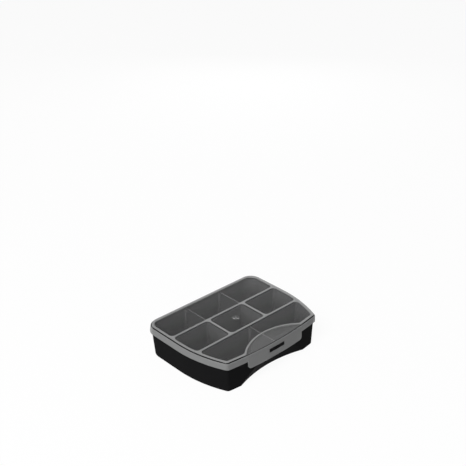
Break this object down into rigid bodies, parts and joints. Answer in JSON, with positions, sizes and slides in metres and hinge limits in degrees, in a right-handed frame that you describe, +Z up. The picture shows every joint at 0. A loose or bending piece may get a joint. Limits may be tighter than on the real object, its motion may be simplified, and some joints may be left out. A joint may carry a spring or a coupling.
{
  "type": "compartment organizer box",
  "caption": "Shallow compartment box with a tapered tray, fixed walls, loose dividers, a hinged translucent lid and a flexing front latch flap.",
  "frame": {"origin": "on the flat underside of the tray, under the middle of the lid", "axes": "+X to the right along the width, +Y from the latch flap to the hinges, +Z up"},
  "size_m": [0.1776, 0.14, 0.0408],
  "materials": {
    "tray_plastic": "fine matte grain",
    "lid_plastic": "milky translucent",
    "divider_plastic": "satin",
    "pin_steel": "drawn wire"
  },
  "bodies": {
    "tray": {"base_tray": "tray_plastic", "divider_back_left": "divider_plastic", "divider_back_right": "divider_plastic", "divider_front": "divider_plastic", "hinge_pin_left": "pin_steel", "hinge_pin_right": "pin_steel"},
    "lid": {"lid": "lid_plastic"},
    "flap": {"latch_flap": "lid_plastic"}
  },
  "joints": [
    {"name": "lid_hinge", "type": "hinge", "parent": "tray", "child": "lid", "pos_m": [0, 0.069, 0.0285], "axis": [-1, 0, 0], "range_deg": [0, 120]},
    {"name": "latch_flex", "type": "hinge", "parent": "lid", "child": "flap", "pos_m": [0, -0.0646, 0.03845], "axis": [-1, 0, 0], "range_deg": [0, 14], "stiffness_Nm_per_rad": 0.15}
  ]
}
